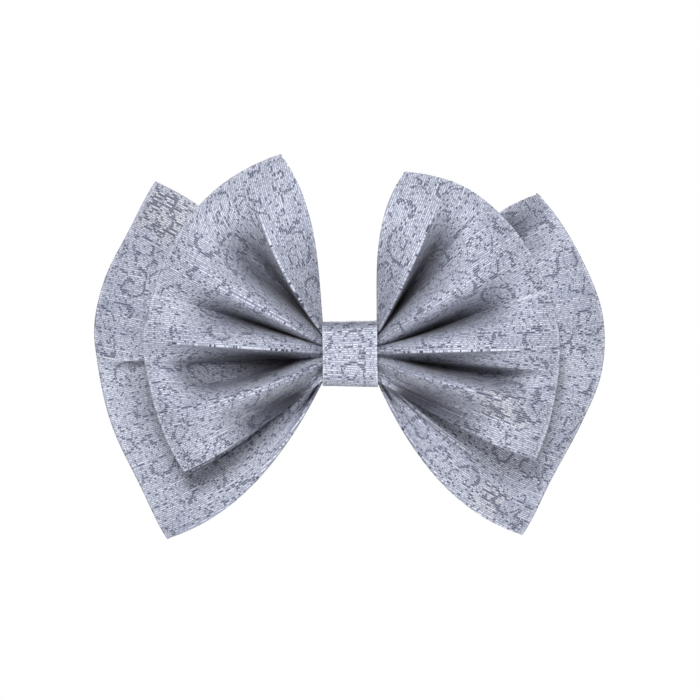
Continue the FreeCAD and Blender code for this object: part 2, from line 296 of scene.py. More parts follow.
def make_jacquard():
    """Silver-blue jacquard with navy floats, scrolls and lattice blocks."""
    weave = Weave("silver_blue_jacquard")
    along, across = (weave.sum("MULTIPLY", metres, 1 / MM) for metres in weave.flat_place())
    place = weave.point(along, across)

    pick = weave.sum("FLOOR", weave.sum("DIVIDE", across, THREAD_MM))
    in_pick = weave.sum("FRACT", weave.sum("DIVIDE", across, THREAD_MM))
    ridge = weave.sum("SINE", weave.sum("MULTIPLY", in_pick, math.pi))
    twill = weave.sum("ADD", weave.sum("DIVIDE", along, THREAD_MM),
                      weave.sum("MULTIPLY", pick, 0.5))
    dot = weave.sum("MULTIPLY_ADD", weave.sum("SINE", weave.sum("MULTIPLY", twill, 2 * math.pi)),
                    0.18, 0.82)

    cell = weave.node("ShaderNodeTexVoronoi", distance="MINKOWSKI")
    cell.inputs["Exponent"].default_value = 2.5
    wobbly = weave.sum("MULTIPLY_ADD", weave.noise(place, 0.16, 1.0, 0.5), SCROLL_WOBBLE_MM, along)
    weave.put(cell.inputs["Vector"], weave.point(wobbly, across))
    cell.inputs["Scale"].default_value = 1 / SCROLL_MM
    cell.inputs["Randomness"].default_value = 0.45
    middle = weave.node("ShaderNodeSeparateXYZ")
    weave.put(middle.inputs[0], cell.outputs["Position"])
    chance = weave.node("ShaderNodeSeparateXYZ")
    weave.put(chance.inputs[0], cell.outputs["Color"])
    local_x = weave.sum("SUBTRACT", wobbly, middle.outputs[0])
    local_y = weave.sum("SUBTRACT", across, middle.outputs[1])
    angle = weave.sum("DIVIDE", weave.sum("ARCTAN2", local_y, local_x), 2 * math.pi)
    radius = weave.sum("MULTIPLY", cell.outputs["Distance"], SCROLL_MM)
    spiral = weave.sum("ADD", angle, weave.sum("DIVIDE", radius, SCROLL_TURN_MM))
    turned = weave.sum("ADD", spiral, chance.outputs[0])
    arm = weave.sum("PINGPONG", turned, 0.5)
    scroll = weave.sum("SUBTRACT", 1.0, weave.step(arm, 0.07, 0.13))
    inside = weave.sum("SUBTRACT", 1.0, weave.step(radius, 4.6, 5.0))
    scroll = weave.sum("MULTIPLY", scroll, inside)

    def dashes(length_mm, seed, share):
        """Threads that float on the face for about length_mm, on a share of the cloth."""
        spot = weave.point(weave.sum("MULTIPLY_ADD", pick, 0.45,
                                     weave.sum("DIVIDE", along, length_mm)),
                           weave.sum("MULTIPLY_ADD", pick, 1.13, seed))
        return weave.step(weave.sum("SUBTRACT", weave.noise(spot, 1.0, 1.0, 0.5),
                                    weave.sum("SUBTRACT", 0.75, share)), -0.02, 0.05)

    floats = dashes(1.0, 0.0, weave.sum("MULTIPLY_ADD", scroll, 0.17, 0.15))
    streaks = dashes(0.8, 50.0, 0.25)
    between = weave.step(ridge, 0.35, 0.9)
    floats = weave.sum("MULTIPLY", floats, weave.step(ridge, 0.5, 0.8))

    def off_centre(value, centre, half):
        """0 in a block's middle, 1 at its edge."""
        return weave.sum("DIVIDE", weave.sum("ABSOLUTE", weave.sum("SUBTRACT", value, centre)), half)

    block = 0.0
    for mid_along, mid_across, half_length, half_width in LATTICE_BLOCKS:
        reach = weave.sum("MAXIMUM", off_centre(along, mid_along, half_length),
                          off_centre(across, mid_across, half_width))
        block = weave.sum("MAXIMUM", weave.sum("SUBTRACT", 1.0, weave.step(reach, 0.85, 1.0)), block)
    bars = dashes(3.0, 90.0, weave.sum("MULTIPLY", block, 0.21))

    tone = weave.noise(place, 0.035, 3.0, 0.6)
    ground = weave.mix(weave.step(tone, 0.3, 0.7), (0.26, 0.275, 0.335, 1), (0.32, 0.335, 0.38, 1))
    yarn = weave.noise(weave.point(weave.sum("MULTIPLY", along, 0.03),
                                   weave.sum("MULTIPLY", pick, 3.17)), 1.0, 1.0, 0.5)
    ground = weave.mix(weave.step(yarn, 0.35, 0.75), ground, (0.40, 0.415, 0.47, 1))
    ground = weave.mix(weave.sum("MULTIPLY", block, 0.7), ground, (0.42, 0.42, 0.41, 1))
    silver = weave.mix(weave.sum("MULTIPLY", dot, between), (0.13, 0.14, 0.185, 1), ground)
    silver = weave.mix(weave.sum("MULTIPLY", weave.sum("MULTIPLY", streaks, between), 0.55), silver,
                       (0.07, 0.08, 0.12, 1))
    dark = weave.sum("MAXIMUM", floats, weave.sum("MULTIPLY", bars, between))
    navy = weave.mix(weave.sum("MULTIPLY", dark, 0.95), silver, (0.02, 0.023, 0.045, 1))
    # Painted highlight: the crease attribute paints folded edges and sharp creases paler, in dots
    # along the weave.
    painted_highlight = weave.sum("MULTIPLY", weave.attribute("crease"), weave.sum("MULTIPLY_ADD", dot, 0.7, 0.3))
    highlighted = weave.mix(weave.sum("MULTIPLY", painted_highlight, 0.75), navy, (0.60, 0.62, 0.68, 1))
    # Painted shade: the shade attribute darkens the cloth towards near black deep in the pleats.
    colour = weave.mix(weave.attribute("shade"), highlighted, (0.008, 0.008, 0.016, 1))
    weave.finish(Base_Color=colour, Roughness=weave.sum("MULTIPLY_ADD", dark, 0.1, 0.5),
                 Sheen_Weight=0.08, Sheen_Roughness=0.4, Specular_IOR_Level=0.25)
    height = weave.sum("ADD", weave.sum("MULTIPLY", dot, ridge), weave.sum("MULTIPLY", floats, 0.6))
    weave.bump(height, 0.12 * MM, 0.5)
    return weave.material


jacquard = make_jacquard()
print("jacquard nodes:", len(jacquard.node_tree.nodes))

# %% [markdown]
# ## Thread, felt, foam and floor
# The small parts have plain finishes, but none is one flat colour: thread shows its twist, felt
# its matted fibres, and foam its pores.

# %% Other materials


def make_thread():
    """Twisted polyester thread: fine slanted stripes along its length."""
    weave = Weave("grey_blue_thread")
    along, around = weave.flat_place()
    twist = weave.sum("ADD", weave.sum("MULTIPLY", along, 14000.0),
                      weave.sum("MULTIPLY", around, 2 * math.pi))
    stripe = weave.sum("MULTIPLY_ADD", weave.sum("SINE", twist), 0.5, 0.5)
    colour = weave.mix(stripe, (0.20, 0.22, 0.29, 1), (0.46, 0.49, 0.57, 1))
    weave.finish(Base_Color=colour, Roughness=0.6, Sheen_Weight=0.3)
    weave.bump(stripe, 0.05 * MM, 0.5)
    return weave.material


def make_felt():
    """Pressed felt: matted fibres in two lengths."""
    weave = Weave("grey_felt")
    place = weave.node("ShaderNodeTexCoord").outputs["Object"]
    fibres = weave.noise(place, 1900.0, 4.0, 0.7, 2.5)
    clumps = weave.noise(place, 240.0, 3.0, 0.6, 0.5)
    share = weave.sum("MULTIPLY_ADD", fibres, 0.7, weave.sum("MULTIPLY", clumps, 0.3))
    colour = weave.mix(weave.step(share, 0.3, 0.7), (0.23, 0.25, 0.30, 1), (0.47, 0.49, 0.55, 1))
    weave.finish(Base_Color=colour, Roughness=0.95, Sheen_Weight=0.5)
    weave.bump(share, 0.25 * MM, 0.7)
    return weave.material


def make_foam():
    """White foam tape: pores, and a slightly glossy tacky skin."""
    weave = Weave("white_foam_tape")
    place = weave.node("ShaderNodeTexCoord").outputs["Object"]
    pores = weave.node("ShaderNodeTexVoronoi")
    weave.put(pores.inputs["Vector"], place)
    pores.inputs["Scale"].default_value = 2600.0
    pit = weave.step(pores.outputs["Distance"], 0.15, 0.55)
    cloudy = weave.noise(place, 160.0, 3.0, 0.6)
    pale = weave.mix(cloudy, (0.70, 0.69, 0.65, 1), (0.84, 0.83, 0.80, 1))
    colour = weave.mix(pit, (0.58, 0.57, 0.54, 1), pale)
    weave.finish(Base_Color=colour, Roughness=weave.sum("MULTIPLY_ADD", pit, -0.2, 0.6))
    weave.bump(pit, 0.08 * MM, 0.5)
    return weave.material


def make_floor_paint():
    """Matte white floor with a trace of mottling."""
    weave = Weave("pale_floor_paint")
    place = weave.node("ShaderNodeTexCoord").outputs["Object"]
    colour = weave.mix(weave.noise(place, 3.0), (0.90, 0.90, 0.90, 1), (0.93, 0.93, 0.93, 1))
    weave.finish(Base_Color=colour, Roughness=0.9)
    return weave.material


thread, felt, foam = make_thread(), make_felt(), make_foam()
floor.data.materials.append(make_floor_paint())

# %% [markdown]
# ## From a grid of points to a slab of cloth
# Both bows and the band are strips of doubled cloth with folded edges.  We describe each strip
# by one grid of points down its middle and give it thickness afterwards: a front face, a back
# face, and a rounded edge.  Making the thickness in code, and not with a Solidify modifier,
# lets the edge be round and keeps the weave's UV map in our hands.

# %% Cloth slab


def unit(vectors):
    """Vectors scaled to length one."""
    return vectors / np.maximum(np.linalg.norm(vectors, axis=-1, keepdims=True), 1e-12)


def grid_normals(points, closed):
    """Normals of a grid of points; closed says that the last column joins the first."""
    down = np.gradient(points, axis=0)
    if closed:
        over = (np.roll(points, -1, axis=1) - np.roll(points, 1, axis=1)) / 2
    else:
        over = np.gradient(points, axis=1)
    return unit(np.cross(over, down))


def ring_of_rows(points, normals, half_thick, edge_steps=4):
    """Rows round the whole section of the slab: front face, edge, back face, edge.
    Returns the rows, and for each the grid row that it came from."""
    rows, source = [], []
    last = len(points) - 1
    for row in range(last + 1):
        rows.append(points[row] + normals[row] * half_thick)
        source.append(row)
    for edge_row, inward in ((last, last - 1), (0, 1)):
        outward = unit(points[edge_row] - points[inward])
        first_side = 1 if edge_row else -1
        for step in range(1, edge_steps):
            turn = math.pi * step / edge_steps
            rows.append(points[edge_row] + normals[edge_row] * half_thick * first_side
                        * math.cos(turn) + outward * half_thick * math.sin(turn))
            source.append(edge_row)
        if edge_row:
            for row in range(last, -1, -1):
                rows.append(points[row] - normals[row] * half_thick)
                source.append(row)
    return np.array(rows), np.array(source)


def add_piece(name, vertices, faces, material):
    """A mesh object from points in millimetres."""
    mesh = bpy.data.meshes.new(name)
    mesh.from_pydata([tuple(point) for point in np.asarray(vertices) * MM], [], faces)
    mesh.validate()
    mesh.update()
    mesh.materials.append(material)
    mesh.polygons.foreach_set("use_smooth", [True] * len(mesh.polygons))
    piece = bpy.data.objects.new(name, mesh)
    scene.collection.objects.link(piece)
    return piece


def cloth_slab(name, points, place, marks, half_thick, closed, material):
    """A strip of cloth from a grid of middle points.  place holds each grid point's place on the
    flat cloth in millimetres, once for the interval above its row and once for the one below."""
    normals = grid_normals(points, closed)
    rows, source = ring_of_rows(points, normals, half_thick)
    count_rows, count_columns = rows.shape[:2]
    steps = count_columns if closed else count_columns - 1
    faces, corner_places = [], []
    for row in range(count_rows):
        after = (row + 1) % count_rows
        from_row, to_row = source[row], source[after]
        upper = 1 if to_row >= from_row else 0
        for column in range(steps):
            beside = (column + 1) % count_columns
            faces.append((row * count_columns + column, after * count_columns + column,
                          after * count_columns + beside, row * count_columns + beside))
            wrap = column + 1
            corner_places += [place[upper][from_row, column], place[1 - upper][to_row, column],
                              place[1 - upper][to_row, wrap], place[upper][from_row, wrap]]
    piece = add_piece(name, rows.reshape(-1, 3), faces, material)
    paint_cloth(piece, corner_places, marks[source].reshape(-1, 2))
    if not closed:
        cap_ends(piece, count_rows, count_columns)
    return piece


def cap_ends(piece, count_rows, count_columns):
    """Close the two cut ends of an open strip."""
    shape = bmesh.new()
    shape.from_mesh(piece.data)
    shape.verts.ensure_lookup_table()
    for column, order in ((0, 1), (count_columns - 1, -1)):
        ring = [shape.verts[row * count_columns + column] for row in range(count_rows)][::order]
        shape.faces.new(ring)
    bmesh.ops.recalc_face_normals(shape, faces=shape.faces)
    shape.to_mesh(piece.data)
    piece.data.update()
    shape.free()


def paint_cloth(piece, corner_places, marks):
    """Write the UV map in metres, and each point's painted highlight and painted shade."""
    mesh = piece.data
    uv = np.zeros((len(mesh.loops), 2), np.float32)
    known = np.array(corner_places, np.float32) * MM
    uv[:len(known)] = known
    layer = mesh.uv_layers.new(name="cloth")
    layer.data.foreach_set("uv", uv.ravel())
    for channel, label in enumerate(("crease", "shade")):
        painted = mesh.attributes.new(label, "FLOAT", "POINT")
        painted.data.foreach_set("value", marks[:, channel].astype(np.float32))


# %% [markdown]
# ## The folds of a wing
# A wing is the strip gathered to the height of the band and spread like a fan to its folded
# end.  A maker's fingers set a few lines in it: ridges that stand up, valleys that are pinched
# in, and the two edges.  So we draw a wing by those lines, from its top edge to its bottom one,
# and let the cloth run smoothly between them.  Cloth simulation could find such folds too, but
# it would find its own, and these have to be the ones of this bow.
#
# `Line` says how high a line leaves the band, at what angle it meets the folded end, how it
# bends on the way, and, in `flatten`, how much of the wing's puff it gives up from band to fold:
# 1 lies flat like a taut valley, 0 rides the full puff and below 0 stands proud of it.  The
# rest say what the cloth does beside the line:
# - `gather` moves it back or forward close to the band.
# - `sharp` is 0 for a smooth turn, and more for a pinched crease.
# - `lip_up` and `lip_down` sharpen it near the band, above and below the line.
# - `eave` draws the cloth in just above the line, and `shelf` just below it.

# %% Fold lines
Line = namedtuple("Line", "height angle bend flatten gather sharp lip_up lip_down eave shelf",
                  defaults=(0, 0, 0, 0))
RIDGE, VALLEY, EDGE = -0.9, 1.3, 0.0


def curve(controls, t):
    """A smooth curve of t from 0 to 1, pulled towards its control values (a Bezier curve)."""
    order = len(controls) - 1
    return sum(math.comb(order, index) * t ** index * (1 - t) ** (order - index) * control
               for index, control in enumerate(controls))


FRONT_LEFT = [
    Line(6.6, 109.2, (2, 6), (.35, .50, .40, .20, 0), EDGE, 0.3),
    Line(5.3, 118.5, (-3, -4), (0, -.18, -.15, -.05, 0), RIDGE, 0.5, 0.4, 2.4),
    Line(4.0, 142.0, (5, 2), (.9, 1.2, 1.0, .55, .05), VALLEY, 0.4, 0.0, 1.0, 0.3),
    Line(2.9, 152.0, (0, 0), (0, -.05, -.10, -.05, 0), RIDGE, -0.4),
    Line(1.8, 163.3, (1, 1), (.9, 1.2, 1.0, .80, .15), VALLEY, 1.6, 0.5, 3.0, 0.1, 0.35),
    Line(0.4, 176.5, (0, 0), (0, -.05, -.10, -.05, 0), RIDGE, 0.2, 0.0, 2.5),
    Line(-0.9, 181.5, (0, 0), (.9, 1.15, .95, .75, .2), VALLEY, 1.2, 0.0, 0.0, 0.0, 0.95),
    Line(-2.6, 198.0, (-2, -2), (0, -.05, .10, .15, 0), RIDGE, 0.0),
    Line(-4.3, 207.5, (-2, -2), (.6, .85, .65, .35, 0), VALLEY, 0.2),
    Line(-5.6, 211.5, (-1, -1), (.9, 1.15, .75, .25, 0), VALLEY, 0.2),
    Line(-6.6, 215.2, (-1, -2), (1.0, 1.25, .80, .30, 0), EDGE, 0.3),
]
FRONT_RIGHT = [
    Line(6.6, 73.2, (2, 6), (.35, .50, .40, .20, 0), EDGE, 0.3),
    Line(5.5, 61.0, (-1, -1), (0, -.15, -.12, 0, 0), RIDGE, 0.3, 0.3, 2.6),
    Line(4.2, 47.5, (2, 0), (.9, 1.25, .95, .35, 0), VALLEY, 0.4, 0.0, 1.4, 0.4),
    Line(3.0, 31.0, (0, 0), (0, -.05, -.10, -.05, 0), RIDGE, 0.0),
    Line(1.8, 17.5, (-1, 1), (.9, 1.2, 1.1, .90, .1), VALLEY, 1.6, 0.7, 3.0, 0.2, 0.20),
    Line(0.3, 1.5, (0, 0), (0, -.05, -.08, -.02, 0), RIDGE, 0.2, 0.0, 2.5),
    Line(-0.8, -4.5, (0, 0), (.7, .9, .5, .25, .1), VALLEY, 1.2, 0.0, 0.0, 0.0, 0.90),
    Line(-2.4, -16.0, (0, 0), (0, -.05, -.04, 0, 0), RIDGE, 0.2),
    Line(-4.2, -22.5, (-2, -1), (.6, .85, .60, .25, 0), VALLEY, 0.2),
    Line(-5.6, -26.0, (-1, -1), (.9, 1.15, .75, .20, 0), VALLEY, 0.2),
    Line(-6.6, -29.6, (-1, -2), (1.0, 1.25, .80, .25, 0), EDGE, 0.3),
]
REAR_LEFT = [
    Line(6.6, 138.5, (4, 5), (.5, .5, .4, .2, 0), EDGE, 0.3),
    Line(5.0, 147.0, (2, 2), (0, 0, 0, -.2, -.2), RIDGE, 0.0),
    Line(3.4, 157.0, (1, 1), (.9, .9, .4, 0, 0), VALLEY, 0.4),
    Line(1.8, 168.0, (0, 0), (0, 0, -.1, -.1, 0), RIDGE, 0.0),
    Line(0.2, 181.5, (0, 0), (.9, .9, .9, .5, .3), VALLEY, 1.3, 0, 0, 0.1, 0.9),
    Line(-1.4, 192.0, (0, 0), (.2, .5, 1.0, 1.4, 1.4), RIDGE, 0.0),
    Line(-3.0, 203.0, (-1, -2), (.9, .9, .9, 1.1, .9), VALLEY, 0.3),
    Line(-4.8, 214.0, (-3, -5), (0, 0, .4, .7, .8), RIDGE, 0.0),
    Line(-6.6, 225.3, (-6, -9), (.2, .2, .2, .1, .1), EDGE, 0.3),
]
REAR_RIGHT = [
    Line(6.6, 40.5, (4, 5), (.5, .5, .1, -.8, -1.4), EDGE, 0.3),
    Line(5.0, 32.0, (2, 2), (0, 0, .8, 1.3, 1.2), RIDGE, 0.0),
    Line(3.4, 23.0, (1, 1), (.9, .9, .8, .6, 0), VALLEY, 0.2),
    Line(1.8, 9.0, (0, 0), (0, 0, -.1, -.1, 0), RIDGE, 0.0),
    Line(0.2, -4.8, (0, 0), (.9, .9, .9, .7, .3), VALLEY, 1.3, 0, 0, 0.1, 0.4),
    Line(-1.4, -14.0, (0, 0), (0, 0, .3, .5, 0), RIDGE, 0.0),
    Line(-3.0, -25.0, (-1, -2), (.9, .9, .4, .1, 0), VALLEY, 0.3),
    Line(-4.8, -36.0, (-3, -5), (0, 0, .4, .7, .8), RIDGE, 0.0),
    Line(-6.6, -46.4, (-6, -9), (.2, .2, .2, .1, .1), EDGE, 0.3),
]

# How far the folded end is from the middle of the waist, at a few angles.
FRONT_LEFT_REACH = [(109.2, 52.1), (130, 52.3), (150, 51.4), (163.3, 50.7), (174, 51.2),
                    (190, 50.0), (215.2, 50.1)]
FRONT_RIGHT_REACH = [(73.2, 46.9), (56.5, 49.8), (40, 50.7), (17.5, 51.2), (5, 51.8),
                     (-10, 51.6), (-29.6, 52.6)]
REAR_LEFT_REACH = [(138.5, 66.0), (150, 64.3), (165, 65.2), (175, 65.2), (181.5, 64.2),
                   (195, 63.2), (213, 63.0), (225.3, 66.0)]
REAR_RIGHT_REACH = [(40.5, 62.7), (22, 63.6), (8, 64.9), (-4.8, 63.9), (-16, 61.4),
                    (-32, 60.2), (-46.4, 63.4)]
print("lines in a front wing:", len(FRONT_LEFT), "and in a rear wing:", len(REAR_LEFT))

# %% [markdown]
# ## From lines to cloth
# Between two lines the cloth needs rows of its own, closer together near the lines.  `ease`
# gives each row its depth, with a slope at each line that is flat for a soft ridge and steep for
# a sharp crease.  `wing` then lays each row out from the band to the fold and back, adds the fine
# wrinkles that gathering leaves, and paints a highlight on the creases and shade in the deep pleats.
#
# `Bow` holds what differs between the two bows: how far back the waist and the fold lie, how far
# each panel puffs out, half the cloth's thickness, the strip's width, where on the cloth its
# pattern starts, and how strongly its front panel is gathered.

# %% Build a wing
Bow = namedtuple("Bow", "waist_front waist_back fold front_hump back_hump half_thick width shift"
                 " front_gather")
HALF_BAND = (node_box("centre_band")[1] - node_box("centre_band")[0])[0] / 2
ROWS_BETWEEN = 14
FRONT_STEPS = 84
BACK_STEPS = 44
FOLD_STEPS = 7
FOLD_RADIUS = 0.45
# Gathers across the strip, and how deep they are at the band.
GATHERS = 15
GATHERS_DEEP = 1.5
# How far the back panel's cloth takes part in the front panel's pleats.
BACK_PLEATS = 0.35
WRINKLE_MM = 0.22
# The painted highlight: how strong it is along the folded end, how far from the fold it reaches, and
# how strong it is on sharp creases.
EDGE_HIGHLIGHT = 0.12
EDGE_HIGHLIGHT_MM = 0.5
CREASE_HIGHLIGHT = 0.5
# How far along the wing a lip reaches, and the most of the puff that a line may give up.
LIP_REACH = 0.8
FLAT_LIMIT = 1.06
# share * (1 - share) ** 2 peaks at 4 / 27, and this brings the peak to one.
TO_ONE = 27 / 4
# The painted shade starts at one depth in a pleat and grows over the next.  It is strongest at the
# band.
SHADE_FROM_MM, SHADE_OVER_MM = 2.0, 5.5
SHADE_ALL, SHADE_AT_BAND = 0.60, 0.39


def ease(share, slope_start, slope_end):
    """0 to 1 across a gap between two lines, with the slope asked for at each end."""
    cubed, squared = share ** 3, share ** 2
    return (slope_start * (cubed - 2 * squared + share) + (3 * squared - 2 * cubed)
            + slope_end * (cubed - squared))


def smooth_reach(stations, angle):
    """The reach at an angle, smoothly through the stations."""
    known = sorted(stations)
    angles, reaches = np.array([a for a, _ in known]), np.array([r for _, r in known])
    slopes = np.gradient(reaches, angles)
    at = np.clip(np.searchsorted(angles, angle) - 1, 0, len(angles) - 2)
    gap = angles[at + 1] - angles[at]
    share = np.clip((angle - angles[at]) / gap, 0, 1)
    squared, cubed = share ** 2, share ** 3
    return (reaches[at] * (2 * cubed - 3 * squared + 1) + reaches[at + 1] * (3 * squared - 2 * cubed)
            + slopes[at] * gap * (cubed - 2 * squared + share)
            + slopes[at + 1] * gap * (cubed - squared))


def rows_of(lines):
    """Every row of a wing as (line above, share of the way to the line below)."""
    even = np.arange(ROWS_BETWEEN) / ROWS_BETWEEN
    shares = even - 0.8 * np.sin(2 * math.pi * even) / (2 * math.pi)
    rows = [(gap, share) for gap in range(len(lines) - 1) for share in shares]
    return rows + [(len(lines) - 2, 1.0)]


def wrinkle(across, t, seed):
    """Fine wrinkles that run along the strip and are strongest near the band."""
    random = np.random.default_rng(seed)
    total = np.zeros(np.broadcast(across, t).shape)
    for count in (4.3, 7.1, 11.7, 17.9, 26.3):
        phase, drift, size = random.uniform(0, 2 * math.pi), random.uniform(-2, 2), 1 / count
        total += size * np.sin(2 * math.pi * count * across + phase + drift * t * 3)
    return total * np.sin(math.pi * np.clip(t, 0, 1)) ** 0.7


def wing(side, lines, stations, bow, seed):
    """Middle points of a wing: (rows, columns, xyz) from the band along the front panel, round
    the fold and along the back panel to the band, and each point's painted highlight and painted
    shade."""
    rows = rows_of(lines)
    t_front = np.sin(np.linspace(0, 1, FRONT_STEPS) * math.pi / 2) ** 1.15
    t_back = np.linspace(1, 0, BACK_STEPS)
    turns = np.linspace(-math.pi / 2, math.pi / 2, FOLD_STEPS + 2)[1:-1]
    grid, marks = [], []
    for index, (gap, share) in enumerate(rows):
        above, below = lines[gap], lines[gap + 1]
        across = index / (len(rows) - 1)
        height = above.height + (below.height - above.height) * share
        angle = above.angle + (below.angle - above.angle) * share
        reach = float(smooth_reach(stations, np.array(angle)))
        start = np.array([side * HALF_BAND, height])
        heading = math.radians(angle)
        end = reach * np.array([math.cos(heading), math.sin(heading)])
        along = end - start
        length = float(np.linalg.norm(along))
        along /= length
        upward = np.array([-along[1], along[0]]) * side
        end = end - along * FOLD_RADIUS

        def lay(t, hump, from_waist, at_fold, lift, panel, gather=0.0):
            """One panel's points at each t, and the painted shade that each gets deep in its pleat.
            """
            way = start + (end - start) * t[:, None]
            sideways = (1 - share) * curve((0, *above.bend, 0), t) \
                + share * curve((0, *below.bend, 0), t)
            way = way + upward * sideways[:, None]
            slot = np.exp(-(t / LIP_REACH) ** 3)
            weight = ease(share, above.sharp + slot * above.lip_down,
                          below.sharp + slot * below.lip_up)
            flat = (1 - weight) * curve(above.flatten, t) + weight * curve(below.flatten, t)
            hang = above.shelf * share * (1 - share) ** 2 + below.eave * share ** 2 * (1 - share)
            flat = np.minimum(flat + TO_ONE * hang * curve((0, .6, 1.2, 1.2, .2), t), FLAT_LIMIT)
            pinch = (above.gather * (1 - weight) + below.gather * weight) * (1 - t) ** 4
            puff = curve(hump, t) * (1 - flat * panel)
            depth = from_waist + (at_fold - from_waist) * t + lift * puff
            depth = depth + pinch * panel + WRINKLE_MM * lift * wrinkle(across, t, seed)
            fade = (1 - t) ** (2.2 if panel == 1 else 0.8)
            depth = depth + gather * GATHERS_DEEP * fade * t ** 0.25 \
                * np.sin(2 * math.pi * GATHERS * across)
            # Painted shade: the deeper the cloth lies in a pleat, the darker it is painted, most
            # near the band.
            deep = np.clip((flat * curve(hump, t) - SHADE_FROM_MM) / SHADE_OVER_MM, 0, 1) ** 1.2
            shade = deep * panel * (SHADE_ALL + SHADE_AT_BAND * np.exp(-(t / 0.45) ** 4))
            return np.stack([way[:, 0], depth, way[:, 1]], axis=1), shade

        front, shade = lay(t_front, bow.front_hump, bow.waist_front, bow.fold - FOLD_RADIUS, -1,
                           1.0, bow.front_gather)
        back, _ = lay(t_back, bow.back_hump, bow.waist_back, bow.fold + FOLD_RADIUS, 1,
                      BACK_PLEATS, 1.0)
        bend = np.array([[end[0] + along[0] * FOLD_RADIUS * math.cos(turn),
                          bow.fold + FOLD_RADIUS * math.sin(turn),
                          end[1] + along[1] * FOLD_RADIUS * math.cos(turn)] for turn in turns])
        grid.append(np.concatenate([front, bend, back]))
        # Painted highlight along the folded end and on sharp creases away from the band; the painted
        # shade is lightened under it.
        line_touch = max(above.sharp - 1, 0) * (share < 0.03) \
            + max(below.sharp - 1, 0) * (share > 0.97)
        near_fold = np.exp(-((1 - t_front) * length / EDGE_HIGHLIGHT_MM) ** 2)
        outer = np.clip(t_front * 3 - 1.2, 0, 1)
        painted_highlight = np.clip(near_fold * EDGE_HIGHLIGHT + CREASE_HIGHLIGHT * line_touch * outer, 0, 1)
        shade = shade * (1 - 0.8 * painted_highlight)
        back_near_fold = np.exp(-((1 - t_back) * length / EDGE_HIGHLIGHT_MM) ** 2)
        painted_highlight = np.concatenate([painted_highlight, np.ones(FOLD_STEPS) * EDGE_HIGHLIGHT, back_near_fold * EDGE_HIGHLIGHT])
        shade = np.concatenate([shade, np.zeros(FOLD_STEPS + BACK_STEPS)])
        marks.append(np.stack([painted_highlight, shade], axis=1))
    return np.array(grid), np.array(marks)


def cloth_place(grid, lines, width, start_column):
    """Each point's place on the flat cloth, above and below its row: along the strip by the
    distance from the band, and across it by the distance from the ridge of its own lobe."""
    steps = np.linalg.norm(np.diff(grid, axis=1, append=grid[:, :1]), axis=2)
    travelled = np.concatenate([np.zeros((len(grid), 1)), np.cumsum(steps, axis=1)], axis=1)
    total = travelled[:, -1:]
    along = np.where(np.arange(travelled.shape[1]) > start_column, travelled - total, travelled)
    drop = np.linalg.norm(np.diff(grid, axis=0), axis=2)
    down = np.concatenate([np.zeros((1, grid.shape[1])), np.cumsum(drop, axis=0)])
    down = np.concatenate([down, down[:, :1]], axis=1)
    first, last = lines[0].angle, lines[-1].angle
    place = np.zeros((2, *along.shape, 2))
    place[..., 0] = along
    for ridge in range(1, len(lines), 2):
        row = ridge * ROWS_BETWEEN
        rest = width * (lines[ridge].angle - first) / (last - first)
        measured = down - down[row] + rest
        low, high = row - ROWS_BETWEEN, row + ROWS_BETWEEN
        place[1, low:high, :, 1] = measured[low:high]
        place[0, low + 1:high + 1, :, 1] = measured[low + 1:high + 1]
    place[0, 0] = place[1, 0]
    place[1, -1] = place[0, -1]
    return place


WAIST_STEPS = 9


def make_bow(name, node, left_lines, left_reach, right_lines, right_reach, bow, seed):
    """Both wings and the gathered waist between them, as one closed loop of cloth."""
    right, right_marks = wing(1, right_lines, right_reach, bow, seed)
    left, left_marks = wing(-1, left_lines, left_reach, bow, seed + 1)
    share = np.linspace(0, 1, WAIST_STEPS + 2)[1:-1][None, :, None]
    waist_back = right[:, -1:] * (1 - share) + left[:, -1:] * share
    waist_front = left[:, :1] * (1 - share) + right[:, :1] * share
    grid = np.concatenate([right, waist_back, left[:, ::-1], waist_front], axis=1)
    bare = np.zeros((len(grid), WAIST_STEPS, 2))
    marks = np.concatenate([right_marks, bare, left_marks[:, ::-1], bare], axis=1)
    # Painted highlight along the strip's top and bottom folded edges too.
    for edge in (0, -1):
        marks[edge, :, 0] = np.maximum(marks[edge, :, 0], EDGE_HIGHLIGHT)
    back_middle = right.shape[1] + WAIST_STEPS // 2
    place = cloth_place(grid, left_lines, bow.width, back_middle)
    place[..., 1] += bow.shift
    piece = cloth_slab(name, grid, place, marks, bow.half_thick, True, jacquard)
    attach(piece, "root")
    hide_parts(node)
    loop = float(np.linalg.norm(np.diff(grid, axis=1), axis=2).sum(axis=1).mean())
    print(name, "faces", len(piece.data.polygons), "loop length mm", round(loop, 1))
    return piece, loop


THREAD = 0.5
GATHER_ROOM = 1.9
BACK_ROOM = 0.75
HALF_THICK = 0.3


def waist_places(winding_node):
    """Where the front and the back panel lie at the waist, inside its winding."""
    low, high = node_box(winding_node)
    return low[1] + THREAD + GATHER_ROOM, high[1] - THREAD - BACK_ROOM


front_shape = Bow(*waist_places("front_waist_thread"), fold=-20.7,
                  front_hump=(0, 14.5, 13.5, 10, 0), back_hump=(0, 2.2, 2.2, 1.2, 0),
                  half_thick=HALF_THICK, width=95.0, shift=0.0, front_gather=0.0)
rear_shape = Bow(*waist_places("rear_waist_thread"), fold=-6.4,
                 front_hump=(0, 2.0, 6.0, 11.0, 0), back_hump=(0, 1.5, 2, 1.5, 0),
                 half_thick=HALF_THICK, width=99.0, shift=200.0, front_gather=1.5)
front_cloth, front_loop = make_bow("front_bow_cloth", "front_bow", FRONT_LEFT, FRONT_LEFT_REACH,
                                   FRONT_RIGHT, FRONT_RIGHT_REACH, front_shape, 11)
rear_cloth, rear_loop = make_bow("rear_bow_cloth", "rear_bow", REAR_LEFT, REAR_LEFT_REACH,
                                 REAR_RIGHT, REAR_RIGHT_REACH, rear_shape, 23)

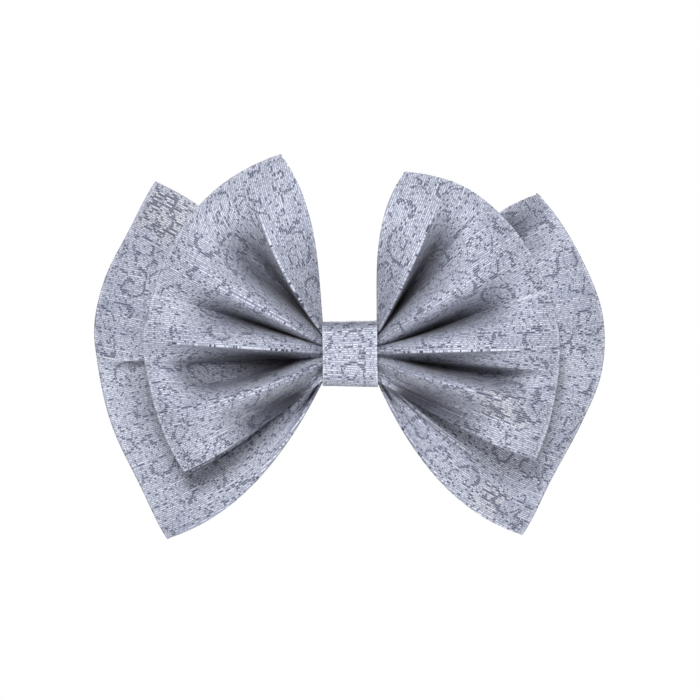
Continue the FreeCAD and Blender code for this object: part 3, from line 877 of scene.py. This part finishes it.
# %% [markdown]
# ## The centre band
# The band is a narrower strip wrapped once round both waists, its ends overlapped and sewn at
# the back.  It follows the outline of its frame node, a rounded box seen from the side, and
# winds inwards by its own thickness so that the ends lie on each other.

# %% Centre band
band_low, band_high = node_box("centre_band")
BAND_OUTER_ROUND = 3.9
# Where the band's cloth starts in the weave, so that it doesn't repeat the bows'.
BAND_SHIFT = 400.0


def rounded_box_path(low, high, radius, start_turn, count):
    """Points round a rounded rectangle in the YZ plane, evenly spaced from its middle rear."""
    width, height = high - low
    straight_y, straight_z = width - 2 * radius, height - 2 * radius
    corner = radius * math.pi / 2
    around = 2 * (straight_y + straight_z) + 4 * corner
    points, normals = [], []
    # Each leg is a length and whether it turns a corner.
    legs = [(straight_z / 2, 0), (corner, 1), (straight_y, 0), (corner, 1), (straight_z, 0),
            (corner, 1), (straight_y, 0), (corner, 1), (straight_z / 2, 0)]
    for number in range(count):
        left = (start_turn + (1 - 2 * start_turn) * number / (count - 1)) * around
        place, heading = np.array([high[0], (low[1] + high[1]) / 2]), math.pi / 2
        left %= around
        for length, turning in legs:
            taken = min(left, length)
            if turning:
                turn = taken / radius
                centre = place + radius * np.array([math.cos(heading + math.pi / 2),
                                                    math.sin(heading + math.pi / 2)])
                angle = heading - math.pi / 2 + turn
                place = centre + radius * np.array([math.cos(angle), math.sin(angle)])
                heading += turn
            else:
                place = place + taken * np.array([math.cos(heading), math.sin(heading)])
            left -= taken
            if left <= 1e-9:
                break
        points.append(place)
        normals.append([math.cos(heading - math.pi / 2), math.sin(heading - math.pi / 2)])
    return np.array(points), np.array(normals), around


def make_band():
    """The band as an open strip that laps over itself behind the waist."""
    half = 0.21
    columns, rows = 180, 29
    # The share of the way round that each end laps past the middle rear.
    overlap = 0.045
    low = np.array([band_low[1] + 2 * half, band_low[2] + 2 * half])
    high = np.array([band_high[1] - 2 * half, band_high[2] - 2 * half])
    path, normals, around = rounded_box_path(low, high, BAND_OUTER_ROUND - 2 * half, -overlap,
                                             columns)
    wound = np.linspace(half, -half, columns) * 1.04
    path = path + normals * wound[:, None]
    # In front the band is drawn in, swells and tilts by a few tenths of a millimetre.
    grid = np.zeros((rows, columns, 3))
    front_share = np.clip((-path[:, 0] + (low[0] + high[0]) / 2) / 7.0, 0, 1)
    for row, share in enumerate(np.linspace(-1, 1, rows)):
        waist_in = 1 - 0.022 * front_share * np.cos(np.clip(path[:, 1] / 8.0, -1, 1) * math.pi / 2)
        swell = 0.16 * (np.cos(share * math.pi * 2.1) * 0.5 - 0.5) * front_share
        tilt = 0.02 * path[:, 1] * front_share
        grid[row, :, 0] = share * (HALF_BAND - 0.25) * waist_in + tilt * -0.6
        grid[row, :, 1] = path[:, 0] - swell * 0.6
        grid[row, :, 2] = path[:, 1] + 0.3 * share * front_share * np.sign(path[:, 1])
    grid = grid[::-1]
    place = np.zeros((2, rows, columns + 1, 2))
    place[..., 0] = np.linspace(-7, 7, rows)[None, :, None]
    place[..., 1] = (np.arange(columns + 1) * around / (columns - 1))[None, None, :] + BAND_SHIFT
    marks = np.zeros((rows, columns, 2))
    # Painted highlight along the band's two folded edges, and painted shade on the top of its front
    # where it turns back.
    marks[0, :, 0] = marks[-1, :, 0] = 0.3
    marks[:, :, 1] = 0.6 * np.clip((path[:, 1] - 5.2) / 3.0, 0, 1)[None, :] * front_share
    piece = cloth_slab("centre_band_cloth", grid, place, marks, half, False, jacquard)
    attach(piece, "root")
    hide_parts("centre_band")
    print("band: once round is", round(around, 1), "mm")


make_band()

# %% [markdown]
# ## Threads
# Under the band each waist is wound with thread, and the band's ends are closed with a few
# upright stitches.  A thread is a thin tube along a path, so one helper makes them all.

# %% Threads


def tube(name, paths, radius, material, sides=10):
    """Round threads along paths in millimetres, with rounded ends, as one mesh."""
    vertices, faces, uv = [], [], []
    for path in paths:
        path = np.asarray(path, float)
        heading = unit(np.gradient(path, axis=0))
        travelled = np.concatenate([[0], np.cumsum(np.linalg.norm(np.diff(path, axis=0), axis=1))])
        side = unit(np.cross(heading, [0.31, 0.92, 0.24]))
        up = np.cross(heading, side)
        base = len(vertices)
        for index, centre in enumerate(path):
            end_gap = min(travelled[index], travelled[-1] - travelled[index])
            here = radius * math.sqrt(max(1 - max(1 - end_gap / radius, 0) ** 2, 0.02))
            for turn in range(sides):
                angle = 2 * math.pi * turn / sides
                vertices.append(centre + here * (math.cos(angle) * side[index]
                                                 + math.sin(angle) * up[index]))
        for index in range(len(path) - 1):
            for turn in range(sides):
                after = (turn + 1) % sides
                a, b = base + index * sides + turn, base + index * sides + after
                faces.append((a, b, b + sides, a + sides))
                low, high = travelled[index], travelled[index + 1]
                around = (turn / sides, (turn + 1) / sides)
                uv += [(low, around[0] / MM), (low, around[1] / MM),
                       (high, around[1] / MM), (high, around[0] / MM)]
        for start, order in ((base, -1), (base + (len(path) - 1) * sides, 1)):
            faces.append(tuple(start + turn for turn in range(sides))[::order])
            uv += [(0, 0)] * sides
    piece = add_piece(name, vertices, faces, material)
    layer = piece.data.uv_layers.new(name="cloth")
    layer.data.foreach_set("uv", (np.array(uv, np.float32) * MM).ravel())
    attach(piece, "root")
    return piece


WINDING_ROUND = 2.9
WINDING_STEPS = 96


def winding(name, node, turns=4):
    """Thread wound side by side round a waist."""
    low, high = node_box(node)
    radius = (high[0] - low[0]) / turns / 2
    section, _, _ = rounded_box_path(low[1:] + radius, high[1:] - radius, WINDING_ROUND - radius,
                                     0.0, WINDING_STEPS + 1)
    path = []
    steps = turns * WINDING_STEPS
    for number in range(steps + 1):
        y, z = section[number % WINDING_STEPS]
        path.append((low[0] + radius + (high[0] - low[0] - 2 * radius) * number / steps, y, z))
    piece = tube(name, [path], radius * 0.98, thread)
    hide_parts(node)


def make_stitches(count=5):
    """Upright stitches that close the band, each a short arched thread."""
    low, high = node_box("band_stitches")
    radius = (high[1] - low[1]) / 2
    xs = np.linspace(low[0] + radius, high[0] - radius, count)
    paths = []
    for number, x in enumerate(xs):
        lean = 0.25 * math.sin(number * 2.3)
        rise = np.linspace(-1, 1, 17)
        paths.append([(x + lean * t, low[1] + radius - 0.25 * t ** 6, (low[2] + high[2]) / 2
                       + t * (high[2] - low[2]) / 2 * 0.97) for t in rise])
    piece = tube("band_stitch_threads", paths, radius * 0.95, thread)
    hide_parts("band_stitches")


winding("rear_winding", "rear_waist_thread")
winding("front_winding", "front_waist_thread")
make_stitches()
print("windings and stitches made")

# %% [markdown]
# ## Felt and foam backing
# The felt hides the stitches, and the foam tape on it sticks the bow down.  Both are flat
# rounded plates cut from sheet, so we build a plate from rings that run from one face, round
# the edge, to the other.  The felt's edge is softly rolled and the foam's is crisp.

# %% Backing
PLATE_POINTS = 160
FACE_RINGS = (0.35, 0.7, 0.9)
EDGE_RINGS = 8


def plate_outline(half, corner, ripple, seed):
    """Points round a rounded rectangle whose edge wavers slightly, as cut by hand."""
    random = np.random.default_rng(seed)
    turn = np.linspace(0, 2 * math.pi, PLATE_POINTS, endpoint=False)
    waver = np.zeros(PLATE_POINTS)
    for wave in (3, 7, 13, 22, 37):
        waver += random.uniform(0.3, 1) * np.sin(wave * turn + random.uniform(0, 6.3)) / 3
    straight = np.array([half[0] - corner, half[2] - corner])
    outline = []
    for angle in turn:
        direction = np.array([math.cos(angle), math.sin(angle)])
        # Walk outwards in steps of 0.05 mm until the rounded rectangle is left behind.
        for reach in np.linspace(0, 60, 1201):
            outside = np.maximum(np.abs(direction * reach) - straight, 0)
            if np.linalg.norm(outside) > corner:
                break
        outline.append(direction * reach)
    return np.array(outline) * (1 - ripple * (1.0 + waver[:, None] * 0.5))


def plate(name, node, corner, roll, ripple, material, seed):
    """A flat rounded plate in the XZ plane that fills its frame node.  roll is how far its edge
    is drawn in where it meets the two faces."""
    low, high = node_box(node)
    middle, half = (low + high) / 2, (high - low) / 2
    outline = plate_outline(half, corner, ripple, seed)
    # Rings from the back face's middle, round the rolled edge, to the front face's middle.
    rings = [(outline * share, 1.0) for share in FACE_RINGS]
    for step in range(EDGE_RINGS + 1):
        angle = math.pi * step / EDGE_RINGS
        inset = roll * (1 - math.sin(angle))
        away = np.maximum(np.linalg.norm(outline, axis=1, keepdims=True), 1e-6)
        rings.append((outline * (1 - inset / away), math.cos(angle)))
    rings += [(outline * share, -1.0) for share in FACE_RINGS[::-1]]
    vertices = [(middle[0] + x, middle[1] + half[1] * level, middle[2] + z)
                for ring, level in rings for x, z in ring]
    count, faces = PLATE_POINTS, []
    for ring in range(len(rings) - 1):
        for step in range(count):
            after = (step + 1) % count
            faces.append((ring * count + step, ring * count + after,
                          (ring + 1) * count + after, (ring + 1) * count + step))
    faces.append(tuple(range(count))[::-1])
    faces.append(tuple(range((len(rings) - 1) * count, len(rings) * count)))
    piece = add_piece(name, vertices, faces, material)
    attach(piece, "root")
    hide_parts(node)
    return piece


plate("felt_strip", "felt_backing", corner=4.0, roll=0.35, ripple=0.012,
      material=felt, seed=5)
foam_tape = plate("foam_tape", "adhesive_pad", corner=2.0, roll=0.12, ripple=0.006,
                  material=foam, seed=9)
print("backing plates:", PLATE_POINTS, "points round each")
